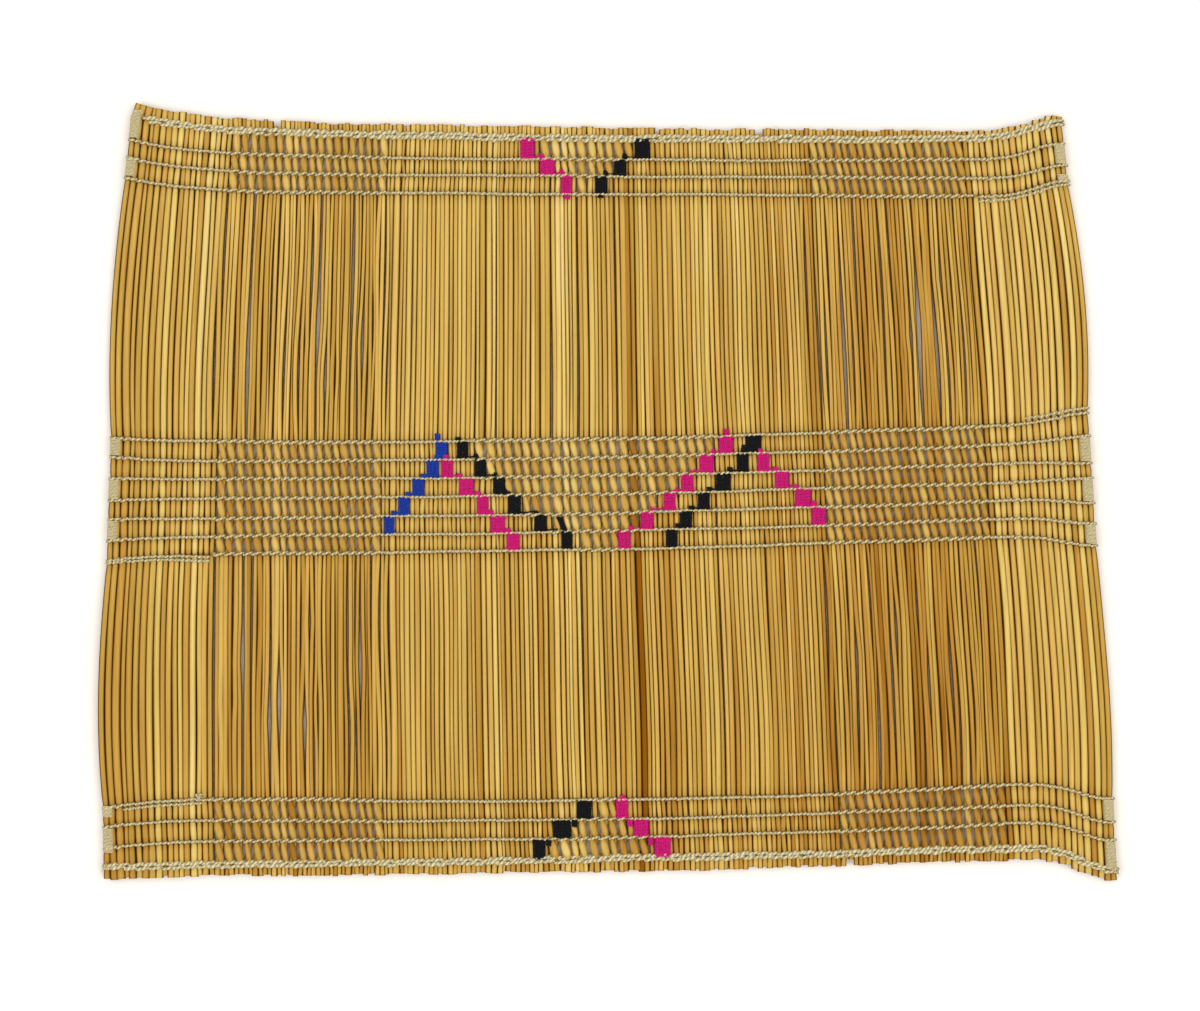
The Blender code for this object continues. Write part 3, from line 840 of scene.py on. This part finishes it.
TOP_OF_TURN = (-0.93, -2 / 3, -1 / 3, 0.0, 1 / 3, 2 / 3, 0.93)
BETWEEN_STEMS = (-1 / 3, 1 / 3)
UNDER_TURN = (0.8, 0.0, -0.8)
DEEPEST_TURN = 3.3
TURN_WOBBLE = 0.035
TURN_DRIFT = 0.03


def wound_turns(middle, half_width, top_z, upper, lower, radius, pitch, dent, rounding):
    """A strand wound in close turns round stems. middle and the two ends are functions of the place across,
    dent is how far the turns sink between the three stems, and rounding how far they drop at the sides."""
    ring = [(-1.0, 0.0)]
    ring += [(x, 1 - rounding * abs(x) ** 4 - (dent if x in BETWEEN_STEMS else 0)) for x in TOP_OF_TURN]
    ring += [(1.0, 0.0)]
    ring += [(x, -(1 - rounding * abs(x) ** 4)) for x in UNDER_TURN]
    turns = max(3, round((upper(0) - lower(0)) / pitch))
    points = []
    for index in range(turns * len(ring)):
        x, z = ring[index % len(ring)]
        t = index / (turns * len(ring))
        high, low = upper(x * half_width), lower(x * half_width)
        y = high + (low - high) * t
        wobble = dice.normal() * TURN_WOBBLE
        place = middle(y) + x * (half_width + wobble)
        reach = (top_z if z > 0 else min(top_z, DEEPEST_TURN)) - STEM_MIDDLE
        points.append((place, y + dice.normal() * TURN_DRIFT, STEM_MIDDLE + z * reach + wobble))
    return Strand(points, [radius * dice.uniform(0.9, 1.1) for _ in points], dice.uniform(0, 1))


def whipping_strand(whipping):
    inwards = 1 if whipping.side == "left" else -1
    at_side = 0.0 if whipping.side == "left" else 1.0
    upper_y = line_height(whipping.upper, at_side) + whipping.upper_offset - CORD_RADIUS
    lower_y = line_height(whipping.lower, at_side) + whipping.lower_offset + CORD_RADIUS
    return wound_turns(lambda y: side_x(whipping.side, y) + inwards * (WHIPPING_HALF - WHIPPING_OVERHANG),
                       WHIPPING_HALF, STEM_MIDDLE + WHIPPING_RISE, lambda x: upper_y, lambda x: lower_y,
                       WHIPPING_RADIUS, WHIPPING_PITCH, 0.0, WHIPPING_ROUNDING)


whipping_finish = fibre_material("side_whipping_finish", "D0C496", "BCB084", 1 / CORD_PLY_PITCH, 2.0)
whipping_strands = [whipping_strand(whipping) for whipping in WHIPPINGS]
whippings = sweep("side_whippings", whipping_strands, 6, whipping_finish)
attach(whippings, "root")

# Yarn blocks. Soft coloured yarn is wound round three stems between two rows, in about twelve turns. At
# the row it is carried to the next three stems, which are further over, so the blocks step across the mat.

YARN_RADIUS = 0.34
YARN_PITCH = 0.64
YARN_ROUNDING = 0.3
YARN_DENT = 0.3
BLOCK_TOP = 3.34
WRAP_WIDTH = 2.2
BLOCK_HAIRS = 5
BLOCK_FROM_LINE = 0.16
WRAP_FROM_LINE = 0.3
CARRIED_FROM_EDGE = 0.6
CARRIED_ABOVE_LINE = 0.7
CARRIED_CLIMB = 0.8
CARRIED_HEIGHT = 1.15
CARRIED_END_HEIGHT = 0.2
# A wrap holds the stem beside the next block. Two of them stand taller and lean, by chain and step.
Wrap = namedtuple("Wrap", "beside tall lean top below", defaults=(False,))
WRAPPED_BELOW = ("black_chain_bottom", "pink_chain_bottom")
TALL_WRAPS = {
    ("black_chain_left", 4): Wrap(0.9, 6.4, -2.6, 4.2),
    ("black_chain_right", 0): Wrap(0.0, 3.6, 0.9, 3.3),
}
# Turns that begin or end a chain beyond its row, on the side of the top (1) or the bottom (-1).
Ending = namedtuple("Ending", "line middle towards_top tall")
ENDINGS = {
    "blue_chain": Ending("middle_1", -75.5, 1, 3.4),
    "black_chain_left": Ending("middle_1", -66.4, 1, 1.6),
    "pink_chain_left": Ending("middle_2", -71.8, 1, 2.0),
    "pink_chain_right": Ending("middle_1", 52.2, 1, 3.0),
    "pink_chain_outer": Ending("middle_2", 67.0, 1, 1.8),
    "pink_chain_top": Ending("top_4", -18.2, -1, 2.4),
    "black_chain_top": Ending("top_4", -3.4, -1, 1.6),
    "pink_chain_bottom": Ending("bottom_1", 6.4, 1, 1.8),
}
YARN_COLOURS = {
    "pink": ("E61C8A", "AA0C5E"),
    "black": ("111419", "050608"),
    "blue": ("1E46BE", "102A7A"),
}


def block_turns(upper_line, lower_line, middle, width):
    def edge(line, inwards):
        return lambda x: line_height(line, share_at(line, middle + x)) + inwards * BLOCK_FROM_LINE

    half_width = width / 2 * dice.uniform(0.97, 1.03)
    return wound_turns(lambda y: middle, half_width, BLOCK_TOP, edge(upper_line, -1), edge(lower_line, 1),
                       YARN_RADIUS, YARN_PITCH, YARN_DENT, YARN_ROUNDING)


def small_wrap(line, middle, towards_top, tall, lean=0.0, top=3.2):
    """A few turns round a single stem, just beside a row. lean is how far its other end stands aside."""
    row_y = line_height(line, share_at(line, middle))
    near, far = row_y + towards_top * WRAP_FROM_LINE, row_y + towards_top * tall
    return wound_turns(lambda y: middle + lean * (y - row_y) / tall, WRAP_WIDTH / 2, top,
                       lambda x: max(near, far), lambda x: min(near, far), YARN_RADIUS, YARN_PITCH, 0.0,
                       YARN_ROUNDING)


def carried_yarn(line, middle, half_width, following, shape):
    """The yarn leaves a block at its corner and slants over to a stem beside the next block. It is wound
    round that stem a few times, just above the row or just below it, before it starts the block below."""
    towards = math.copysign(1, following - middle)
    wrap = following - towards * shape.beside
    if shape.below:
        return [small_wrap(line, wrap, -1, shape.tall, shape.lean, shape.top)]
    corner = middle + towards * (half_width - CARRIED_FROM_EDGE)
    points = []
    for t in (0.0, 0.1, 0.5, 0.9, 1.0):
        x = corner + (wrap - corner) * t
        y = line_height(line, share_at(line, x)) + CARRIED_ABOVE_LINE + CARRIED_CLIMB * t
        points.append((x, y, STEM_MIDDLE + (CARRIED_END_HEIGHT if t in (0.0, 1.0) else CARRIED_HEIGHT)))
    slanted = Strand(points, [YARN_RADIUS] * len(points), dice.uniform(0, 1))
    return [small_wrap(line, wrap, 1, shape.tall, shape.lean, shape.top), slanted]


HAIR_RADIUS = 0.07
HAIR_STEPS = (0.0, 0.3, 0.6, 1.0)


def hair(x, y, z, length, angle, radius=HAIR_RADIUS):
    """A loose fibre that curls away from a point."""
    curl = dice.uniform(-1.2, 1.2)
    points, radii = [], []
    for t in HAIR_STEPS:
        way = angle + curl * t
        points.append((x + length * t * math.cos(way), y + length * t * math.sin(way),
                       z + 0.25 * math.sin(math.pi * t)))
        radii.append(radius * (1 - 0.4 * t))
    return Strand(points, radii, dice.uniform(0, 1))


def block_fuzz(upper_line, lower_line, middle, width):
    """Loose fibres round a block's outline."""
    found = []
    for _ in range(BLOCK_HAIRS):
        side = dice.choice((-1, 1))
        t = dice.choice((dice.uniform(0, 0.2), dice.uniform(0.8, 1.0)))
        upper = line_height(upper_line, share_at(upper_line, middle))
        lower = line_height(lower_line, share_at(lower_line, middle))
        angle = dice.uniform(-1.0, 1.0) + (math.pi if side < 0 else 0)
        found.append(hair(middle + side * (width / 2 - 0.2), upper + (lower - upper) * t, BLOCK_TOP - 0.1,
                          dice.uniform(0.8, 2.2), angle))
    return found


yarn_finishes = {
    colour: fibre_material(colour + "_yarn_finish", light, dark, 0.9, 2.0, 0.04)
    for colour, (light, dark) in YARN_COLOURS.items()
}
for chain_name, chain in CHAINS.items():
    first = HELD_LINES.index(chain.first_line)
    strands = []
    for step, (middle, width) in enumerate(zip(chain.middles, chain.widths)):
        upper_line, lower_line = HELD_LINES[first + step], HELD_LINES[first + step + 1]
        strands.append(block_turns(upper_line, lower_line, middle, width))
        strands += block_fuzz(upper_line, lower_line, middle, width)
        if step + 1 < len(chain.middles):
            near_edge = chain.widths[step + 1] / 2
            usual = Wrap(near_edge - dice.uniform(-0.4, 1.2), dice.uniform(1.8, 2.8), 0.0, BLOCK_TOP - 0.1)
            if chain_name in WRAPPED_BELOW:
                usual = Wrap(near_edge + 1.7, dice.uniform(3.0, 4.0), 0.0, BLOCK_TOP + 0.5, True)
            shape = TALL_WRAPS.get((chain_name, step), usual)
            strands += carried_yarn(lower_line, middle, width / 2, chain.middles[step + 1], shape)
    if chain_name in ENDINGS:
        ending = ENDINGS[chain_name]
        strands.append(small_wrap(ending.line, ending.middle, ending.towards_top, ending.tall))
    piece = sweep(chain_name + "_yarn", strands, 6, yarn_finishes[chain.colour])
    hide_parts(chain_name)
    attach(piece, "root")

# Tails, knots and stray hairs. The cord's own ends are tied off in small overhand knots at the lower corners
# and beside the last doubled row, and short fibres stand out of the braids all along both cut ends.

KNOT_SIZE = 1.25
KNOT_STEPS = 18
KNOT_HEIGHT = 1.1
KNOT_WAVE = 0.35
TAIL_RADIUS = 0.3
KNOTS = ((-181.2, -134.3, 0.5), (-221.6, -165.6, 2.4), (223.6, -166.2, 0.7))
BRAID_HAIRS = 46
BRAID_HAIR_HEIGHT = 1.2
LONE_HAIR_HEIGHT = 1.0
LONE_HAIRS = ((31.5, 161.2, 3.2, 1.4), (75.8, 160.4, 3.6, 1.8), (4.6, 83.3, 4.5, 0.4),
              (-93.0, 158.5, 2.6, 1.2))


def knot(x, y, turn):
    """An overhand knot with two short tails."""
    points = []
    for step in range(KNOT_STEPS + 1):
        t = 2 * math.pi * step / KNOT_STEPS
        points.append((x + KNOT_SIZE * (math.sin(t) + 2 * math.sin(2 * t)) / 3,
                       y + KNOT_SIZE * (math.cos(t) - 2 * math.cos(2 * t)) / 3,
                       STEM_MIDDLE + KNOT_HEIGHT - KNOT_WAVE * math.sin(3 * t)))
    found = [Strand(points, [CORD_RADIUS * 0.8] * len(points), dice.uniform(0, 1))]
    for spread in (-0.5, 0.5):
        found.append(hair(x, y, STEM_MIDDLE + LONE_HAIR_HEIGHT, dice.uniform(2.4, 3.4), turn + spread,
                          TAIL_RADIUS))
    return found


loose = []
for x, y, turn in KNOTS:
    loose += knot(x, y, turn)
for line, outwards in (("top_braid", 1), ("bottom_braid", -1)):
    for _ in range(BRAID_HAIRS):
        x, y = across(line, dice.uniform(0.01, 0.99))
        y += outwards * dice.uniform(-0.5, 1.5)
        length = dice.uniform(1.2, 3.0)
        angle = outwards * dice.uniform(0.5, 2.6)
        loose.append(hair(x, y, STEM_MIDDLE + BRAID_HAIR_HEIGHT, length, angle))
for x, y, length, angle in LONE_HAIRS:
    loose.append(hair(x, y, STEM_MIDDLE + LONE_HAIR_HEIGHT, length, angle))
tails = sweep("tails_and_knots", loose, 5, cord_finish)
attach(tails, "root")

# Table, light and camera. The mat lies on a plain white table under soft light from all round, and the
# camera looks straight down on it.

TABLE_HALF = 4.0
CAMERA_PLACE = (-3.81 * MM, -5.6 * MM, 1.2563)
LENS_LENGTH = 85.0
SENSOR_WIDTH = 36.0
table_mesh = bpy.data.meshes.new("table_top")
corners = [(x * TABLE_HALF, y * TABLE_HALF, 0) for x, y in ((-1, -1), (1, -1), (1, 1), (-1, 1))]
table_mesh.from_pydata(corners, [], [(0, 1, 2, 3)])
table_top = add_piece("table_top", table_mesh)
table_finish, _, table_shader = new_material("white_table", 0.9, Specular_IOR_Level=0.1)
table_shader.inputs["Base Color"].default_value = (0.93, 0.92, 0.89, 1.0)
table_mesh.materials.append(table_finish)

LIGHT_ABOVE = (0.86, 0.77, 0.67, 1.0)
LIGHT_BESIDE = (1.58, 1.59, 1.62, 1.0)
world = bpy.data.worlds.new("soft_room")
world.use_nodes = True
sky = world.node_tree
direction = sky.nodes.new("ShaderNodeTexCoord")
parts = add_node(sky, "ShaderNodeSeparateXYZ", {0: direction.outputs["Generated"]})
sideways = calculate(sky, "ABSOLUTE", parts.outputs[0])
beside = add_node(sky, "ShaderNodeMapRange", {"Value": sideways, "From Min": 0.3, "From Max": 0.7},
                  interpolation_type="SMOOTHSTEP")
room = blend(sky, beside.outputs[0], LIGHT_ABOVE, LIGHT_BESIDE)
sky.links.new(room, sky.nodes["Background"].inputs["Color"])
bpy.context.scene.world = world
SIDE_LIGHT = 0.3
SIDE_LIGHT_HEIGHT = 42.0
SIDE_LIGHT_SPREAD = 35.0
for side_name, turn in (("left", -1), ("right", 1)):
    name = "soft_light_" + side_name
    lamp = bpy.data.lights.new(name, "SUN")
    lamp.energy = SIDE_LIGHT
    lamp.angle = math.radians(SIDE_LIGHT_SPREAD)
    soft_light = bpy.data.objects.new(name, lamp)
    soft_light.rotation_euler = (math.radians(8), math.radians(turn * (90 - SIDE_LIGHT_HEIGHT)), 0)
    bpy.context.scene.collection.objects.link(soft_light)

lens = bpy.data.cameras.new("camera")
lens.lens = LENS_LENGTH
lens.sensor_width = SENSOR_WIDTH
camera = bpy.data.objects.new("camera", lens)
camera.location = CAMERA_PLACE
bpy.context.scene.collection.objects.link(camera)
bpy.context.scene.camera = camera
bpy.context.scene.view_settings.view_transform = "Standard"
